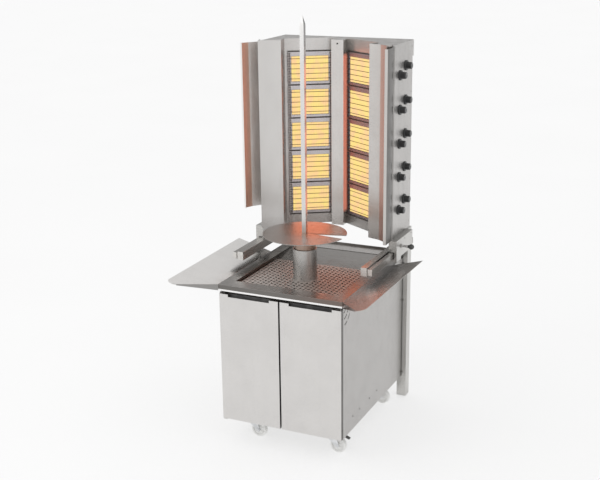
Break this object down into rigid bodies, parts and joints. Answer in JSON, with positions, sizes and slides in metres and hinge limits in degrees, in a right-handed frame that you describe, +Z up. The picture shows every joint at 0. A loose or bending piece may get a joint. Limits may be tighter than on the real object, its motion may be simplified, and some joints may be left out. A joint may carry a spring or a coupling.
{
  "type": "doner kebab grill",
  "caption": "Upright gas meat grill: turning spit over a drip tray, sliding two-panel burner head, two-door cabinet on casters.",
  "frame": {"origin": "on the floor, under the middle of the overall width and depth", "axes": "+X to the operator's right, +Y from the operator to the back, +Z up"},
  "size_m": [0.966, 1.0041, 1.96],
  "materials": {
    "cabinet_steel": "satin stainless sheet, upright grain, light wear on edges",
    "tray_steel": "satin stainless sheet, folded and welded",
    "plate_steel": "perforated stainless sheet",
    "inner_steel": "plain stainless sheet",
    "frame_steel": "stainless tube and folded sheet",
    "column_steel": "turned stainless, fine ring grain",
    "turntable_steel": "stainless, slightly browned by heat",
    "spit_steel": "ground square bar",
    "motor_paint": "grey enamel",
    "head_steel": "satin stainless sheet",
    "burner_steel": "stainless sheet, tinted by heat near the burners",
    "ceramic": "perforated ceramic plaque in a metal box, glowing when lit",
    "guard_wire": "heat-proof wire",
    "gas_steel": "plain steel pipe and valve bodies",
    "black_plastic": "matte black",
    "knob_plastic": "satin black, bare face",
    "zinc_steel": "bright zinc plated pressing",
    "wheel_nylon": "off-white nylon",
    "pedal_plastic": "black tip on a zinc arm"
  },
  "bodies": {
    "stand": {"cabinet_left_side": "cabinet_steel", "cabinet_right_side": "cabinet_steel", "cabinet_back": "cabinet_steel", "cabinet_floor": "cabinet_steel", "front_top_rail": "cabinet_steel", "grease_drawer": "inner_steel", "drawer_runners": "inner_steel", "tray_pan": "tray_steel", "tray_wing_left": "tray_steel", "tray_wing_right": "tray_steel", "drip_plate": "plate_steel", "column": "column_steel", "gear_motor": "motor_paint", "rear_post_left": "frame_steel", "rear_post_right": "frame_steel", "rail_left": "frame_steel", "rail_right": "frame_steel", "caster_plates": "zinc_steel"},
    "left_door": {"door_left": "cabinet_steel"},
    "right_door": {"door_right": "cabinet_steel"},
    "spit": {"drive_shaft": "turntable_steel", "spit_disc": "turntable_steel", "spit_bar": "spit_steel"},
    "head": {"head_left_side": "head_steel", "head_right_side": "head_steel", "head_back": "head_steel", "head_top": "head_steel", "head_bottom": "head_steel", "centre_mullion": "burner_steel", "burner_panel_left": "burner_steel", "burner_panel_right": "burner_steel", "plaque_burners": "ceramic", "guard_grids": "guard_wire", "gas_train": "gas_steel", "carriage_left": "frame_steel", "carriage_right": "frame_steel", "rail_bushes": "black_plastic"},
    "clamp": {"clamp_screw": "black_plastic"},
    "left_leaf": {"side_leaf_left": "burner_steel"},
    "right_leaf": {"side_leaf_right": "burner_steel"},
    "knob_01": {"knob_01": "knob_plastic"},
    "knob_02": {"knob_02": "knob_plastic"},
    "knob_03": {"knob_03": "knob_plastic"},
    "knob_04": {"knob_04": "knob_plastic"},
    "knob_05": {"knob_05": "knob_plastic"},
    "knob_06": {"knob_06": "knob_plastic"},
    "knob_07": {"knob_07": "knob_plastic"},
    "knob_08": {"knob_08": "knob_plastic"},
    "knob_09": {"knob_09": "knob_plastic"},
    "knob_10": {"knob_10": "knob_plastic"},
    "swivel_front_left": {"fork_front_left": "zinc_steel"},
    "wheel_front_left": {"wheel_front_left": "wheel_nylon"},
    "brake_front_left": {"brake_front_left": "pedal_plastic"},
    "swivel_front_right": {"fork_front_right": "zinc_steel"},
    "wheel_front_right": {"wheel_front_right": "wheel_nylon"},
    "brake_front_right": {"brake_front_right": "pedal_plastic"},
    "swivel_rear_left": {"fork_rear_left": "zinc_steel"},
    "wheel_rear_left": {"wheel_rear_left": "wheel_nylon"},
    "swivel_rear_right": {"fork_rear_right": "zinc_steel"},
    "wheel_rear_right": {"wheel_rear_right": "wheel_nylon"}
  },
  "joints": [
    {"name": "left_door_hinge", "type": "hinge", "parent": "stand", "child": "left_door", "pos_m": [-0.294, -0.326, 0.425], "axis": [0, 0, -1], "range_deg": [0, 110]},
    {"name": "right_door_hinge", "type": "hinge", "parent": "stand", "child": "right_door", "pos_m": [0.294, -0.326, 0.425], "axis": [0, 0, 1], "range_deg": [0, 110]},
    {"name": "spit_spin", "type": "hinge", "parent": "stand", "child": "spit", "pos_m": [0, -0.052, 0.8], "axis": [0, 0, 1], "continuous": true},
    {"name": "head_slide", "type": "slide", "parent": "stand", "child": "head", "axis": [0, -1, 0], "range_m": [0, 0.15]},
    {"name": "clamp_turn", "type": "hinge", "parent": "head", "child": "clamp", "pos_m": [0.4, 0.235, 0.878], "axis": [1, 0, 0], "range_deg": [0, 270]},
    {"name": "left_leaf_hinge", "type": "hinge", "parent": "head", "child": "left_leaf", "pos_m": [-0.3365, 0.1855, 1.4], "axis": [0, 0, -1], "range_deg": [-31, 59]},
    {"name": "right_leaf_hinge", "type": "hinge", "parent": "head", "child": "right_leaf", "pos_m": [0.3365, 0.1855, 1.4], "axis": [0, 0, 1], "range_deg": [-5, 85]},
    {"name": "knob_turn_01", "type": "hinge", "parent": "head", "child": "knob_01", "pos_m": [0.34, 0.361, 1.073], "axis": [1, 0, 0], "range_deg": [0, 180]},
    {"name": "knob_turn_02", "type": "hinge", "parent": "head", "child": "knob_02", "pos_m": [0.34, 0.286, 1.037], "axis": [1, 0, 0], "range_deg": [0, 180]},
    {"name": "knob_turn_03", "type": "hinge", "parent": "head", "child": "knob_03", "pos_m": [0.34, 0.361, 1.2314], "axis": [1, 0, 0], "range_deg": [0, 180]},
    {"name": "knob_turn_04", "type": "hinge", "parent": "head", "child": "knob_04", "pos_m": [0.34, 0.286, 1.1954], "axis": [1, 0, 0], "range_deg": [0, 180]},
    {"name": "knob_turn_05", "type": "hinge", "parent": "head", "child": "knob_05", "pos_m": [0.34, 0.361, 1.3898], "axis": [1, 0, 0], "range_deg": [0, 180]},
    {"name": "knob_turn_06", "type": "hinge", "parent": "head", "child": "knob_06", "pos_m": [0.34, 0.286, 1.3538], "axis": [1, 0, 0], "range_deg": [0, 180]},
    {"name": "knob_turn_07", "type": "hinge", "parent": "head", "child": "knob_07", "pos_m": [0.34, 0.361, 1.5482], "axis": [1, 0, 0], "range_deg": [0, 180]},
    {"name": "knob_turn_08", "type": "hinge", "parent": "head", "child": "knob_08", "pos_m": [0.34, 0.286, 1.5122], "axis": [1, 0, 0], "range_deg": [0, 180]},
    {"name": "knob_turn_09", "type": "hinge", "parent": "head", "child": "knob_09", "pos_m": [0.34, 0.361, 1.7066], "axis": [1, 0, 0], "range_deg": [0, 180]},
    {"name": "knob_turn_10", "type": "hinge", "parent": "head", "child": "knob_10", "pos_m": [0.34, 0.286, 1.6706], "axis": [1, 0, 0], "range_deg": [0, 180]},
    {"name": "swivel_turn_front_left", "type": "hinge", "parent": "stand", "child": "swivel_front_left", "pos_m": [-0.203, -0.227, 0.1], "axis": [0, 0, 1], "continuous": true},
    {"name": "swivel_turn_front_right", "type": "hinge", "parent": "stand", "child": "swivel_front_right", "pos_m": [0.203, -0.227, 0.1], "axis": [0, 0, 1], "continuous": true},
    {"name": "swivel_turn_rear_left", "type": "hinge", "parent": "stand", "child": "swivel_rear_left", "pos_m": [-0.203, 0.343, 0.1], "axis": [0, 0, 1], "continuous": true},
    {"name": "swivel_turn_rear_right", "type": "hinge", "parent": "stand", "child": "swivel_rear_right", "pos_m": [0.203, 0.343, 0.1], "axis": [0, 0, 1], "continuous": true},
    {"name": "wheel_spin_front_left", "type": "hinge", "parent": "swivel_front_left", "child": "wheel_front_left", "pos_m": [-0.165, -0.227, 0.038], "axis": [0, 1, 0], "continuous": true},
    {"name": "wheel_spin_front_right", "type": "hinge", "parent": "swivel_front_right", "child": "wheel_front_right", "pos_m": [0.241, -0.227, 0.038], "axis": [0, 1, 0], "continuous": true},
    {"name": "wheel_spin_rear_left", "type": "hinge", "parent": "swivel_rear_left", "child": "wheel_rear_left", "pos_m": [-0.165, 0.343, 0.038], "axis": [0, 1, 0], "continuous": true},
    {"name": "wheel_spin_rear_right", "type": "hinge", "parent": "swivel_rear_right", "child": "wheel_rear_right", "pos_m": [0.241, 0.343, 0.038], "axis": [0, 1, 0], "continuous": true},
    {"name": "brake_press_front_left", "type": "hinge", "parent": "swivel_front_left", "child": "brake_front_left", "pos_m": [-0.185, -0.227, 0.0937], "axis": [0, 1, 0], "range_deg": [0, 10]},
    {"name": "brake_press_front_right", "type": "hinge", "parent": "swivel_front_right", "child": "brake_front_right", "pos_m": [0.221, -0.227, 0.0937], "axis": [0, 1, 0], "range_deg": [0, 10]}
  ]
}
